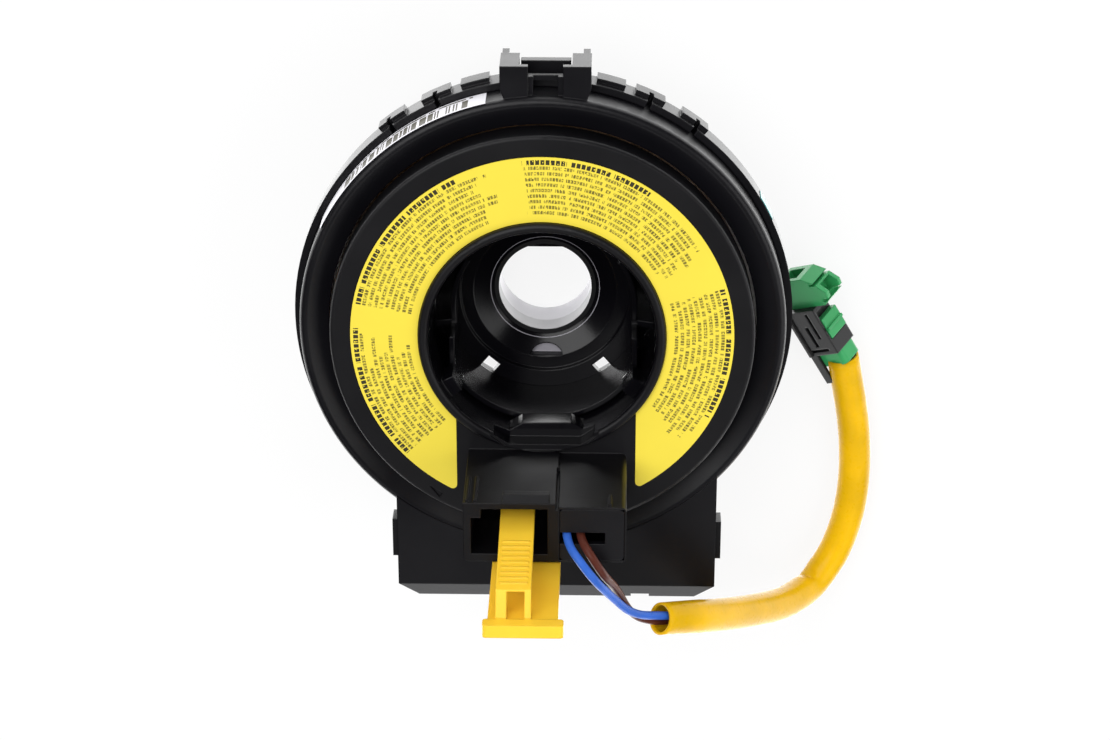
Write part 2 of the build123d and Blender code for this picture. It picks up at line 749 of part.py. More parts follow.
with BuildPart() as lock_pin:
    # plate outside the tower, with a short tongue that drops into the disc's slot
    block(lock_x0, lock_x1, lock_plate_y0, lock_plate_y1, face_z + lock_tip_gap, lock_z1)
    block(tip_x0, tip_x1, lock_plate_y0 + 0.6, lock_plate_y1 - 0.4, face_z + lock_tip_gap - tip_h,
          face_z + 1)
    fillet(lock_pin.edges().filter_by(Axis.Y).group_by(Axis.Z)[1], radius=0.5)
    # end bar with rounded ends
    with BuildSketch(Plane.XZ.offset(-lock_plate_y0)):
        with Locations(((bar_x0 + bar_x1) / 2, lock_z1 + bar_t / 2)):
            RectangleRounded(bar_x1 - bar_x0, bar_t, 0.8)
    extrude(amount=lock_plate_y0 - bar_y1)
    # arm that reaches into the socket and ends in a rounded hook
    with BuildSketch(Plane.YZ.offset(arm_x0)) as arm_side:
        Polygon(
            (arm_high_y, arm_high_z),
            (arm_low_y, arm_low_z),
            (arm_low_y + 0.8, arm_low_z - 7.6),
            (arm_low_y + 2.3, arm_low_z - 9.6),
            (arm_low_y + 1.8, arm_low_z - 11.8),
            (arm_low_y - 0.2, arm_low_z - 10.6),
            (arm_low_y - arm_t, arm_low_z),
            (arm_high_y - arm_t, arm_high_z),
            align=None,
        )
        fillet(arm_side.vertices().sort_by(Axis.Y)[:2], radius=0.4)
    extrude(amount=arm_x1 - arm_x0)
    # two legs from the arm's outer end to the bar
    with BuildSketch(Plane.YZ.offset(arm_x0)):
        Polygon((arm_high_y, arm_high_z), (arm_high_y - arm_t, arm_high_z - 1), (leg_root_y, lock_z1 - 1.1),
                (leg_root_y, lock_z1 + 0.3), (bar_y1, lock_z1 + 0.9), (bar_y1, lock_z1 - 0.3), align=None)
    extrude(amount=arm_x1 - arm_x0)
    block(arm_window_x0, arm_window_x1, lock_plate_y0, arm_high_y - 0.4, arm_high_z - 5, lock_z1,
          Mode.SUBTRACT)
    block(arm_window_x0, arm_window_x1, lock_plate_y0, lock_plate_y1, lock_window_z0, lock_z1 + 0.2)
    # fine cross ribs on the arm
    for step in range(9):
        rib_z = rib_first_z + step * rib_pitch
        rib_y = arm_high_y + (arm_high_z - rib_z) * (arm_low_y - arm_high_y) / (arm_high_z - arm_low_z)
        with Locations(((arm_x0 + arm_x1) / 2, rib_y, rib_z)):
            Box(arm_x1 - arm_x0 - 1.6, rib_proud, 0.7)
lock_pin.part.label = "lock_pin"
export_step(lock_pin.part, "parts/lock_pin.step")

# ------------------------------------------------------------------ inflator lead and its sleeve
# Hand-placed points; the two wires share the sleeve's route, one each side of its centre.
lead_ref_y = -28.2  # the tower's upper side when the points were placed
lead_side = (0.96, -0.07, 0.72)
sleeve_points = [
    (26.9, -62.7, 57.0),
    (32.4, -64.7, 52.5),
    (38.0, -67.8, 46.2),
    (46.8, -73.8, 33.6),
    (56.7, -80.0, 19.0),
    (62.5, -81.4, 11.0),
    (67.0, -78.4, 6.2),
    (70.7, -72.6, 4.3),
    (73.7, -61.0, 4.0),
    (74.4, -48.3, 4.0),
    (72.9, -33.9, 4.6),
    (69.9, -20.0, 5.9),
]
blue_start = [
    (5.7, -32.2, 58.0),
    (5.7, -34.0, 64.8),
    (6.2, -36.3, 71.5),
    (9.0, -38.9, 75.0),
    (12.3, -43.6, 75.0),
    (15.6, -49.9, 69.8),
    (20.6, -58.0, 63.9),
    (27.6, -61.5, 57.7),
    (33.3, -64.1, 53.0),
]
brown_start = [
    (8.6, -32.2, 57.2),
    (8.6, -33.9, 63.4),
    (9.0, -35.9, 69.9),
    (11.4, -38.3, 73.6),
    (14.2, -43.2, 73.2),
    (16.8, -49.8, 66.2),
    (20.3, -60.2, 60.2),
    (26.2, -63.9, 56.4),
    (31.5, -65.3, 52.0),
]
lead_end = [(70.5, -22.0, 5.8), (66.9, -17.0, 5.95)]


def beside(points, side):
    """The same points moved to one side of the sleeve's centre."""
    dx, dy, dz = (side * d for d in lead_side)
    return [(x + dx, y + dy, z + dz) for x, y, z in points]


def with_tower(points):
    """The same points, kept with the tower where it moves."""
    return [(x, y + lead_top - lead_ref_y, z) for x, y, z in points]


def bend_radii(points):
    """One bend radius per inner point, as large as its two runs allow."""
    radii = []
    for before, here, after in zip(points, points[1:], points[2:]):
        run_in = Vector(*here) - Vector(*before)
        run_out = Vector(*after) - Vector(*here)
        half_turn = radians(run_in.get_angle(run_out)) / 2
        radii.append(0.45 * min(run_in.length, run_out.length) / tan(half_turn))
    return radii


shared_points = sleeve_points[2:-1] + lead_end
blue_points = with_tower(blue_start + beside(shared_points, 1))
brown_points = with_tower(brown_start + beside(shared_points, -1))
sleeve_route = with_tower(sleeve_points)

with BuildPart() as blue_wire:
    with BuildLine() as blue_path:
        FilletPolyline(*blue_points, radius=bend_radii(blue_points))
    with BuildSketch(Plane(origin=blue_path.line @ 0, z_dir=blue_path.line % 0)):
        Circle(wire_d / 2)
    sweep(path=blue_path.line)
blue_wire.part.label = "blue_wire"
export_step(blue_wire.part, "parts/blue_wire.step")

with BuildPart() as brown_wire:
    with BuildLine() as brown_path:
        FilletPolyline(*brown_points, radius=bend_radii(brown_points))
    with BuildSketch(Plane(origin=brown_path.line @ 0, z_dir=brown_path.line % 0)):
        Circle(wire_d / 2)
    sweep(path=brown_path.line)
brown_wire.part.label = "brown_wire"
export_step(brown_wire.part, "parts/brown_wire.step")

with BuildPart() as wire_sleeve:
    with BuildLine() as sleeve_path:
        FilletPolyline(*sleeve_route, radius=bend_radii(sleeve_route))
    with BuildSketch(Plane(origin=sleeve_path.line @ 0, z_dir=sleeve_path.line % 0)):
        Circle(sleeve_d / 2)
        Circle(sleeve_d / 2 - sleeve_wall, mode=Mode.SUBTRACT)
    sweep(path=sleeve_path.line)
wire_sleeve.part.label = "wire_sleeve"
export_step(wire_sleeve.part, "parts/wire_sleeve.step")

wire_area = pi * (wire_d / 2) ** 2
sleeve_area = pi * ((sleeve_d / 2) ** 2 - (sleeve_d / 2 - sleeve_wall) ** 2)
for cord, path, points, area in (
    (blue_wire, blue_path, blue_points, wire_area),
    (brown_wire, brown_path, brown_points, wire_area),
    (wire_sleeve, sleeve_path, sleeve_route, sleeve_area),
):
    length = path.wire().length
    print(cord.part.label, "length %.1f" % length,
          "volume ratio %.4f" % (cord.part.volume / area / length))
    print("  bend radii", [round(r, 1) for r in bend_radii(points)])

# ------------------------------------------------------------------ inflator plug
heading_x = cos(radians(plug_heading))
heading_y = sin(radians(plug_heading))
tilt = sin(radians(plug_roll))
plug_frame = Plane(
    origin=with_tower([(68.9, -20.1, 5.95)])[0],
    x_dir=(heading_x, heading_y, 0),
    z_dir=(tilt * heading_y, -tilt * heading_x, cos(radians(plug_roll))),
)
cap_s0 = -0.8
plug_throat_r = 2.6
body_s0 = 3.0
body_s1 = 15.5
nose_s1 = 23.3
half_w = plug_w / 2
half_h = plug_h / 2
window_s0 = 6.6
window_s1 = 14.4
window_side = 2.9
tongue_s0 = -5.0
window_d = 1.6
slot_d = 0.8
lock_play = 2.0
terminal_w = 0.7
nose_w0 = -4.4
nose_w1 = 1.8
nose_plane = Plane(
    origin=plug_frame.from_local_coords((0, nose_w1, 0)),
    x_dir=plug_frame.x_dir,
    z_dir=-plug_frame.y_dir,
)

with BuildPart(plug_frame) as plug_cap:
    block(cap_s0, body_s0, 0.1 - half_w, half_w - 0.9, 0.3 - half_h, half_h - 0.3)
    fillet(plug_cap.edges().group_by(SortBy.LENGTH)[0], radius=1.2)
    with Locations((body_s0, -0.35, 0.1)):
        Cylinder(plug_throat_r, 20, rotation=(0, 90, 0), mode=Mode.SUBTRACT)
plug_cap.part.label = "plug_cap"
export_step(plug_cap.part, "parts/plug_cap.step")

with BuildPart(plug_frame) as plug_body:
    block(body_s0, body_s1, -half_w, half_w, -half_h, half_h)
    # long slots down the side
    block(body_s0 + 4.6, body_s1 - 0.8, half_w - slot_d, half_w + 1, 1.3, 2.1, Mode.SUBTRACT)
    block(body_s0 + 2.4, body_s1 - 4.4, half_w - slot_d, half_w + 1, -0.9, 0.1, Mode.SUBTRACT)
    block(body_s0 + 0.9, body_s0 + 1.7, half_w - slot_d, half_w + 1, -3.2, 2.4, Mode.SUBTRACT)
    # window for the sliding lock, open to one side
    block(window_s0, window_s1, -half_w - 1, window_side, half_h - window_d, half_h + 1, Mode.SUBTRACT)
    # tongue that runs back beside the sleeve
    block(tongue_s0, body_s0, half_w - 0.7, half_w, -half_h, -2.3)
    # low rails along the side's edges
    block(body_s0, body_s1, half_w - 0.2, half_w + 0.4, -half_h, -half_h + 0.9)
plug_body.part.label = "plug_body"
export_step(plug_body.part, "parts/plug_body.step")

with BuildPart(plug_frame) as plug_nose:
    # humped latch housing: its side outline, then its thickness
    with BuildSketch(nose_plane) as nose_side:
        Polygon((body_s1, -3.2), (body_s1, 7.6), (body_s1 + 1.2, 9.4), (body_s1 + 3.2, 9.8),
                (body_s1 + 6.0, 7.4), (nose_s1, 4.4), (nose_s1, -3.2), align=None)
    extrude(nose_side.sketch, amount=nose_w1 - nose_w0)
    # pocket, two grooves and the mouth
    block(body_s1 + 1.6, body_s1 + 5.0, nose_w0 + 1.0, nose_w1 - 1.2, 5.6, 12, Mode.SUBTRACT)
    block(body_s1 + 0.9, body_s1 + 1.6, nose_w0 - 1, nose_w1 + 1, 7.4, 12, Mode.SUBTRACT)
    block(body_s1 + 5.4, body_s1 + 6.0, nose_w0 - 1, nose_w1 + 1, 6.0, 12, Mode.SUBTRACT)
    block(body_s1 - 1, nose_s1 + 1, nose_w0 + 1.2, nose_w1 - 1.1, -2.1, 2.6, Mode.SUBTRACT)
    # wings on the side
    block(body_s1 + 0.4, body_s1 + 2.0, nose_w0 - 0.8, nose_w0 + 0.5, 2.0, 7.0)
plug_nose.part.label = "plug_nose"
export_step(plug_nose.part, "parts/plug_nose.step")

with BuildPart(plug_frame) as plug_terminals:
    for offset_y in (-2.1, -0.2):
        block(body_s1 - 3, nose_s1 - 2.5, offset_y - terminal_w / 2, offset_y + terminal_w / 2, -0.6, 0.6)
plug_terminals.part.label = "plug_terminals"
export_step(plug_terminals.part, "parts/plug_terminals.step")

with BuildPart(plug_frame) as plug_lock:
    lock_w0 = fit_gap - half_w
    lock_w1 = window_side - 2 * fit_gap
    block(window_s0 + 0.2, window_s1 - 0.2 - lock_play, lock_w0, lock_w1, half_h - window_d + 0.15,
          half_h + 0.2)
    block(window_s0 + 2.4, window_s0 + 3.1, lock_w0, lock_w1, half_h, half_h + 0.7)
plug_lock.part.label = "plug_lock"
export_step(plug_lock.part, "parts/plug_lock.step")
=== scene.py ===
"""Finishes, lead wires, sleeve and studio for the steering clock spring."""
from math import acos, cos, pi, sin

import bmesh
import bpy
from bpy.props import FloatProperty, FloatVectorProperty, IntProperty, PointerProperty
from mathutils import Matrix, Vector


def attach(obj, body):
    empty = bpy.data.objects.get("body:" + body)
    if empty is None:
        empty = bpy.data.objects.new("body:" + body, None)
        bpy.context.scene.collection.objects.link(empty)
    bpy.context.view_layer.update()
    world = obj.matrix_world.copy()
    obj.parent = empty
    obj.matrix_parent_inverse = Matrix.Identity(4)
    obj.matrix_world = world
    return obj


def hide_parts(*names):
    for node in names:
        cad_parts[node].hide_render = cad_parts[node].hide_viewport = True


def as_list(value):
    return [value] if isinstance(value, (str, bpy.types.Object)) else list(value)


bl_info = {
    "name": "Steering clock spring",
    "version": (1, 0, 0),
    "blender": (4, 5, 0),
    "location": "View3D > Sidebar > Clock Spring",
    "description": "Plastics, printed labels, lead wires and studio for a steering clock spring",
    "category": "Object",
}

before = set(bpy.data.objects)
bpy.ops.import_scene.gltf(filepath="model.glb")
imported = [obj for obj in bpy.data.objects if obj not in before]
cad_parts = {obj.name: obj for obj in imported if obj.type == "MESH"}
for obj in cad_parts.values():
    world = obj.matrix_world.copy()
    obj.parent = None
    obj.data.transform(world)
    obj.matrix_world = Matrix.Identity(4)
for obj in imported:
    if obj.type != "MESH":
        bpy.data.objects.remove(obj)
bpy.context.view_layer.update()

MM = 0.001

# Places on the solids, in millimetres.
BOWL_EDGE_R = 27.6
ABOVE_FACE_Z = 43.6
CASE_R = 54.3
# Where the bush's painted reflection changes: black above the first height, darker from the band upwards.
BUSH_TOP_Z = 12.9
BUSH_DIM_REFLECTION_Z = (7.2, 7.8)
# Height of the small pocket's floor in the hub core, which is painted pale grey as a reflection.
POCKET_GLINT_Z = (13.45, 13.55)
BORE_FLAT = {"radius": 10.8 * MM, "flat": 9.9 * MM, "low": 12.1 * MM, "high": 12.9 * MM}

# The ring label's print, in millimetres: the outer edge of the first row, its middle, and the rows' spacing.
PRINT_OUTER_R = 41.95
PRINT_MIDDLE_R = 41.3
PRINT_PITCH = 1.28
LAST_ROW = 9
# Each block, in degrees: its start, where its bold line and its small print end, how ragged that end is.
PRINT_BLOCKS = (
    (57.0, 13.0, 1.0, 7.0),
    (136.0, 95.0, 67.0, 7.0),
    (209.0, 157.0, 146.0, 10.0),
    (263.0, 217.0, 215.0, 16.0),
)

# The bar label's print, in millimetres: its length along the wall, and the heights of its two bands.
BAR_SPAN = (100.6, 135.4)
BAR_BAND_Z = (33.3, 38.0)
DASH_BAND_Z = (32.0, 32.7)

# The lead's route in millimetres: the sleeve's centre, then each wire's own start and shared end.
SLEEVE_ROUTE = [
    (26.9, -62.7, 57.0),
    (32.4, -64.7, 52.5),
    (38.0, -67.8, 46.2),
    (46.8, -73.8, 33.6),
    (56.7, -79.7, 19.0),
    (62.0, -80.8, 11.0),
    (64.6, -80.2, 7.6),
    (67.2, -77.6, 5.6),
    (70.7, -72.0, 4.3),
    (73.7, -61.0, 4.0),
    (74.4, -48.3, 4.0),
    (72.9, -33.9, 4.6),
    (69.9, -20.0, 5.9),
]
BLUE_START = [
    (5.7, -32.2, 58.0),
    (5.7, -34.0, 64.8),
    (6.2, -36.3, 71.5),
    (9.0, -38.9, 75.0),
    (12.3, -43.6, 75.0),
    (15.6, -49.9, 69.8),
    (20.6, -58.0, 63.9),
    (27.6, -61.5, 57.7),
    (33.3, -64.1, 53.0),
]
BROWN_START = [
    (8.6, -32.2, 57.2),
    (8.6, -33.9, 63.4),
    (9.0, -35.9, 69.9),
    (11.4, -38.3, 73.6),
    (14.2, -43.2, 73.2),
    (16.8, -49.8, 66.2),
    (20.3, -60.2, 60.2),
    (26.2, -63.9, 56.4),
    (31.5, -65.3, 52.0),
]
WIRE_END = [(70.5, -22.0, 5.8), (66.9, -17.0, 5.95)]
WIRE_SIDE = (0.96, -0.07, 0.72)


def colour_property(name, description, default):
    return FloatVectorProperty(
        name=name, description=description, subtype="COLOR", size=3, min=0.0, max=1.0, default=default
    )


class PlasticColours(bpy.types.PropertyGroup):
    """Colours of the moulded parts"""

    case: colour_property("Case", "Satin plastic of the fixed case", (0.0034, 0.0032, 0.0046))
    disc: colour_property("Disc", "Plastic of the turning disc, bowl and tower", (0.0026, 0.0024, 0.0035))
    # The bush's pale grey is a painted reflection of the bright floor on its wall.
    bush_reflection: colour_property("Bush", "Plastic of the bush in the bore", (0.55, 0.54, 0.58))
    inner: colour_property("Inner parts", "Plastic of the sockets and lead blocks", (0.045, 0.045, 0.048))
    lock: colour_property("Lock pin", "Plastic of the pull-out lock pin", (0.96, 0.56, 0.035))
    plug: colour_property("Plug ends", "Plastic of the plug's cap, nose and lock", (0.036, 0.33, 0.105))


class PrintColours(bpy.types.PropertyGroup):
    """Colours of labels, print and paint"""

    label: colour_property("Label", "Ground of the ring label", (0.77, 0.62, 0.050))
    ink: colour_property("Ink", "Print on both labels", (0.035, 0.030, 0.012))
    bar_label: colour_property("Bar label", "Ground of the label on the case wall", (0.86, 0.85, 0.90))
    dab: colour_property("Paint dab", "Paint on the rim", (0.02, 0.28, 0.27))


class LeadSettings(bpy.types.PropertyGroup):
    """Sizes and colours of the inflator lead"""

    wire_d: FloatProperty(name="Wire", description="Wire diameter", default=0.0019, unit="LENGTH")
    sleeve_d: FloatProperty(name="Sleeve", description="Sleeve diameter", default=0.0076, unit="LENGTH")
    sleeve_wall: FloatProperty(name="Wall", description="Sleeve wall", default=0.0006, unit="LENGTH")
    sleeve_sides: IntProperty(name="Sides", description="Faces round the sleeve", default=40, min=12)
    blue: colour_property("First wire", "Insulation of one wire", (0.035, 0.13, 0.56))
    brown: colour_property("Second wire", "Insulation of the other wire", (0.085, 0.022, 0.014))
    sleeve: colour_property("Sleeve", "Sleeve over the wires", (0.80, 0.46, 0.004))


class StudioSettings(bpy.types.PropertyGroup):
    """Light and camera"""

    lens: FloatProperty(name="Lens", description="Focal length in millimetres", default=90.81)
    distance: FloatProperty(name="Distance", description="From the aim point", default=0.62278, unit="LENGTH")
    lamp: FloatProperty(name="Lamps", description="Strength of all lamps together", default=1.0, min=0.0)
    floor: colour_property("Floor", "Floor colour", (0.86, 0.86, 0.86))
    floor_gloss: FloatProperty(name="Floor gloss", description="Brightness seen in reflections", default=3.6)
    ambient: FloatProperty(name="Ambient", description="Strength of the surroundings' light", default=0.30)
    dark: FloatProperty(name="Reflected dark", description="Surroundings seen in reflections", default=0.03)


# ------------------------------------------------------------------ materials
class Finish:
    """One node material while it is made."""

    def __init__(self, name, colour=(0.5, 0.5, 0.5), roughness=0.5, **surface):
        self.material = bpy.data.materials.new(name)
        self.material.use_nodes = True
        self.material.diffuse_color = (*colour, 1.0)
        self.tree = self.material.node_tree
        self.shader = self.tree.nodes["Principled BSDF"]
        self.shader.inputs["Base Color"].default_value = (*colour, 1.0)
        self.shader.inputs["Roughness"].default_value = roughness
        for socket, value in surface.items():
            self.shader.inputs[socket.replace("_", " ").title().replace("Ior", "IOR")].default_value = value

    def add(self, kind, inputs=None, **settings):
        """A node with its settings, whose inputs are numbers or other nodes' outputs."""
        node = self.tree.nodes.new("ShaderNode" + kind)
        for key, value in settings.items():
            setattr(node, key, value)
        for socket, value in (inputs or {}).items():
            if isinstance(value, bpy.types.NodeSocket):
                self.tree.links.new(value, node.inputs[socket])
            else:
                node.inputs[socket].default_value = value
        return node

    def math(self, operation, *values):
        """A Math node's result."""
        return self.add("Math", dict(enumerate(values)), operation=operation).outputs[0]

    def place(self):
        """Object coordinates."""
        return self.add("TexCoord").outputs["Object"]

    def axes(self):
        """Object coordinates as three separate numbers."""
        return self.add("SeparateXYZ", {0: self.place()}).outputs

    def reach(self):
        """Distance from the turning axis."""
        x, y, _ = self.axes()
        return self.math("SQRT", self.math("ADD", self.math("MULTIPLY", x, x), self.math("MULTIPLY", y, y)))

    def noise(self, scale, detail=2.0, vector=None):
        """A noise texture's value."""
        source = vector or self.place()
        return self.add("TexNoise", {"Vector": source, "Scale": scale, "Detail": detail}).outputs[0]

    def between(self, value, low, high, to_low=0.0, to_high=1.0, **settings):
        """A number carried from one range to another."""
        inputs = {"Value": value, "From Min": low, "From Max": high, "To Min": to_low, "To Max": to_high}
        return self.add("MapRange", inputs, **settings).outputs[0]

    def inside(self, value, low, high):
        """1 where a number lies in a range, else 0."""
        return self.math("COMPARE", value, (low + high) / 2, (high - low) / 2)

    def blend(self, factor, first, second):
        """A colour mixed from two colours or outputs."""
        node = self.add("Mix", data_type="RGBA")
        self.tree.links.new(factor, node.inputs["Factor"])
        for socket, value in ((node.inputs[6], first), (node.inputs[7], second)):
            if isinstance(value, bpy.types.NodeSocket):
                self.tree.links.new(value, socket)
            else:
                socket.default_value = (*value, 1.0)
        return node.outputs[2]

    def colour(self, output):
        """Takes the base colour from an output."""
        self.tree.links.new(output, self.shader.inputs["Base Color"])

    def rough(self, output):
        """Takes the roughness from an output."""
        self.tree.links.new(output, self.shader.inputs["Roughness"])

    def relief(self, height, depth, soft_edge=0.0):
        """Surface relief, with edges that catch the light as if rounded."""
        inputs = {"Height": height, "Distance": depth, "Strength": 1.0}
        if soft_edge:
            inputs["Normal"] = self.add("Bevel", {"Radius": soft_edge}, samples=6).outputs[0]
        bump = self.add("Bump", inputs)
        self.tree.links.new(bump.outputs[0], self.shader.inputs["Normal"])


def shade(colour, factor):
    """A colour made lighter or darker."""
    return tuple(min(1.0, c * factor) for c in colour)


def moulded_plastic(name, colour, roughness, grain=1800.0, depth=0.00001, soft_edge=0.00035, shine=0.25):
    """Injection-moulded plastic: fine spark-eroded grain, slow gloss changes and rounded edges."""
    finish = Finish(name, colour, roughness, ior=1.49, specular_ior_level=shine)
    slow = finish.noise(60.0, 3.0)
    finish.rough(finish.between(slow, 0.3, 0.7, roughness - 0.05, roughness + 0.05))
    finish.colour(finish.blend(slow, shade(colour, 0.85), shade(colour, 1.18)))
    finish.relief(finish.noise(grain, 2.0), depth, soft_edge)
    return finish


def disc_plastic(name, colour):
    """The disc's plastic: satin on the disc's face, rim and tower, polished in the bowl."""
    finish = Finish(name, colour, 0.3, ior=1.5, specular_ior_level=0.25)
    outside = finish.math("GREATER_THAN", finish.reach(), BOWL_EDGE_R * MM)
    above = finish.math("GREATER_THAN", finish.axes()[2], ABOVE_FACE_Z * MM)
    satin = finish.math("MAXIMUM", outside, above)
    slow = finish.noise(70.0, 3.0)
    polished = finish.between(slow, 0.3, 0.7, 0.10, 0.20)
    textured = finish.between(slow, 0.3, 0.7, 0.40, 0.50)
    finish.rough(finish.add("Mix", {"Factor": satin, 2: polished, 3: textured}).outputs[0])
    finish.colour(finish.blend(slow, shade(colour, 0.8), shade(colour, 1.2)))
    finish.relief(finish.noise(1500.0, 2.0), 0.000008, 0.0004)
    return finish


def cells(finish, along, row, width, shift):
    """Equal cells along a row: how far across its cell a point is, and a random number for the cell."""
    spot = finish.math("DIVIDE", finish.math("ADD", along, finish.math("MULTIPLY", row, shift)), width)
    key = finish.add("CombineXYZ", {0: finish.math("FLOOR", spot), 1: row, 2: shift}).outputs[0]
    return finish.math("FRACT", spot), finish.add("TexWhiteNoise", {"Vector": key}).outputs[0]


def printed_ring(name, ground, ink):
    """The ring label: blocks of broken, word-like print that follow the ring, each under a bolder line."""
    finish = Finish(name, ground, 0.38, ior=1.45)
    math = finish.math
    x, y, _ = finish.axes()
    degrees = math("MULTIPLY", math("ARCTAN2", y, x), 180 / pi)
    turn = math("MODULO", math("ADD", degrees, 400.0), 360.0)
    rows = math("DIVIDE", math("SUBTRACT", PRINT_OUTER_R * MM, finish.reach()), PRINT_PITCH * MM)
    row = math("FLOOR", rows)
    across = math("FRACT", rows)
    row_r = math("SUBTRACT", PRINT_MIDDLE_R, math("MULTIPLY", row, PRINT_PITCH))
    along = math("MULTIPLY", math("RADIANS", turn), row_r)
    # small print: short cells, broken by gaps of two lengths, each cell speckled within
    cell, weight = cells(finish, along, row, 0.66, 0.37)
    fifth = math("MULTIPLY", math("FLOOR", math("MULTIPLY", across, 5.0)), 0.11)
    speck = cells(finish, along, math("ADD", row, fifth), 0.19, 0.53)[1]
    small = math("MULTIPLY", finish.inside(cell, 0.10, 0.88), finish.inside(across, 0.20, 0.80))
    small = math("MULTIPLY", small, math("GREATER_THAN", speck, 0.14))
    for width, shift, gap in ((5.3, 1.7, 0.12), (8.9, 3.1, 0.07)):
        word = cells(finish, along, row, width, shift)[0]
        small = math("MULTIPLY", small, math("GREATER_THAN", word, gap))
    small = math("MULTIPLY", small, finish.between(weight, 0.0, 1.0, 0.60, 0.86))
    # bold line over each block
    bold = finish.inside(cells(finish, along, row, 1.12, 0.2)[0], 0.14, 0.90)
    bold = math("MULTIPLY", bold, finish.inside(across, 0.08, 0.94))
    bold = math("MULTIPLY", bold, math("GREATER_THAN", cells(finish, along, row, 9.7, 0.9)[0], 0.10))
    bold = math("MULTIPLY", bold, math("GREATER_THAN", speck, 0.04))
    # only within the blocks
    in_small = 0.0
    in_bold = 0.0
    for index, (start, bold_end, small_end, spread) in enumerate(PRINT_BLOCKS):
        key = finish.add("CombineXYZ", {0: row, 1: float(index)}).outputs[0]
        ragged = math("MULTIPLY", finish.add("TexWhiteNoise", {"Vector": key}).outputs[0], spread)
        begun = math("LESS_THAN", turn, start)
        short_of_end = math("GREATER_THAN", turn, math("ADD", ragged, small_end))
        in_small = math("ADD", in_small, math("MULTIPLY", begun, short_of_end))
        in_bold = math("ADD", in_bold, math("MULTIPLY", begun, math("GREATER_THAN", turn, bold_end)))
    small = math("MULTIPLY", math("MULTIPLY", small, finish.inside(row, 0.5, LAST_ROW + 0.5)), in_small)
    bold = math("MULTIPLY", math("MULTIPLY", bold, finish.inside(row, -0.5, 0.5)), in_bold)
    tone = finish.blend(finish.noise(90.0, 3.0), shade(ground, 0.95), shade(ground, 1.04))
    finish.colour(finish.blend(math("MAXIMUM", small, bold), tone, ink))
    finish.relief(finish.noise(700.0, 3.0), 0.000006)
    return finish


def bar_label(name, ground, ink):
    """The wall label: upright bars in a band and a short dashed line."""
    finish = Finish(name, ground, 0.42, ior=1.45)
    math = finish.math
    x, y, z = finish.axes()
    along = math("MULTIPLY", math("ARCTAN2", y, x), CASE_R)
    bars = cells(finish, along, 0.0, 0.34, 1.0)[1]
    dashes = cells(finish, along, 1.0, 0.8, 1.0)[1]
    span = finish.inside(along, *BAR_SPAN)
    marks = []
    for band, tone, least in ((BAR_BAND_Z, bars, 0.48), (DASH_BAND_Z, dashes, 0.3)):
        height = finish.inside(z, band[0] * MM, band[1] * MM)
        marks.append(math("MULTIPLY", math("MULTIPLY", height, span), math("GREATER_THAN", tone, least)))
    tone = finish.blend(finish.noise(120.0, 2.0), shade(ground, 0.96), ground)
    finish.colour(finish.blend(math("MAXIMUM", *marks), tone, ink))
    finish.relief(finish.noise(900.0, 2.0), 0.000005)
    return finish


def bush_painted_reflection(name, colour):
    """The bore's bush: satin plastic under a painted reflection. It is pale grey, with a darker painted band
    above and a black top where no reflection is painted.
    """
    finish = Finish(name, colour, 0.4, ior=1.5)
    z = finish.axes()[2]
    band = finish.between(z, BUSH_DIM_REFLECTION_Z[0] * MM, BUSH_DIM_REFLECTION_Z[1] * MM)
    slow = finish.noise(90.0, 3.0)
    # painted reflection: pale grey with slow changes, darker above the band
    pale = finish.blend(slow, shade(colour, 0.92), shade(colour, 1.08))
    tone = finish.blend(band, pale, shade(colour, 0.42))
    # black on top, where no reflection is painted
    top = finish.math("GREATER_THAN", z, BUSH_TOP_Z * MM)
    finish.colour(finish.blend(top, tone, (0.003, 0.003, 0.004)))
    finish.rough(finish.between(slow, 0.3, 0.7, 0.34, 0.46))
    finish.relief(finish.noise(1500.0, 2.0), 0.00001)
    return finish


def core_with_painted_glint(name, colour):
    """The hub core's polished plastic, with a painted reflection that makes the small pocket's floor pale
    grey.
    """
    finish = moulded_plastic(name, colour, 0.2, soft_edge=0.0005)
    tone = finish.shader.inputs["Base Color"].links[0].from_socket
    # painted reflection: pale grey on the small pocket's floor
    floor = finish.inside(finish.axes()[2], POCKET_GLINT_Z[0] * MM, POCKET_GLINT_Z[1] * MM)
    finish.colour(finish.blend(floor, tone, (0.30, 0.29, 0.32)))
    return finish


def tinned_metal(name, colour):
    """Tin-plated contact pins with fine drawing marks."""
    finish = Finish(name, colour, 0.25, metallic=1.0)
    x, y, z = finish.axes()
    stretched = finish.add("CombineXYZ", {0: x, 1: y, 2: finish.math("MULTIPLY", z, 0.05)}).outputs[0]
    drawn = finish.noise(6000.0, 2.0, stretched)
    finish.rough(finish.between(drawn, 0.3, 0.7, 0.18, 0.34))
    finish.relief(drawn, 0.000004)
    return finish


def slip_film(name, colour, roughness, metallic=0.0):
    """Plastic film with faint ripples."""
    finish = Finish(name, colour, roughness, metallic=metallic, ior=1.5)
    ripple = finish.noise(140.0, 2.0)
    finish.colour(finish.blend(ripple, shade(colour, 0.92), shade(colour, 1.05)))
    finish.relief(ripple, 0.00004)
    return finish


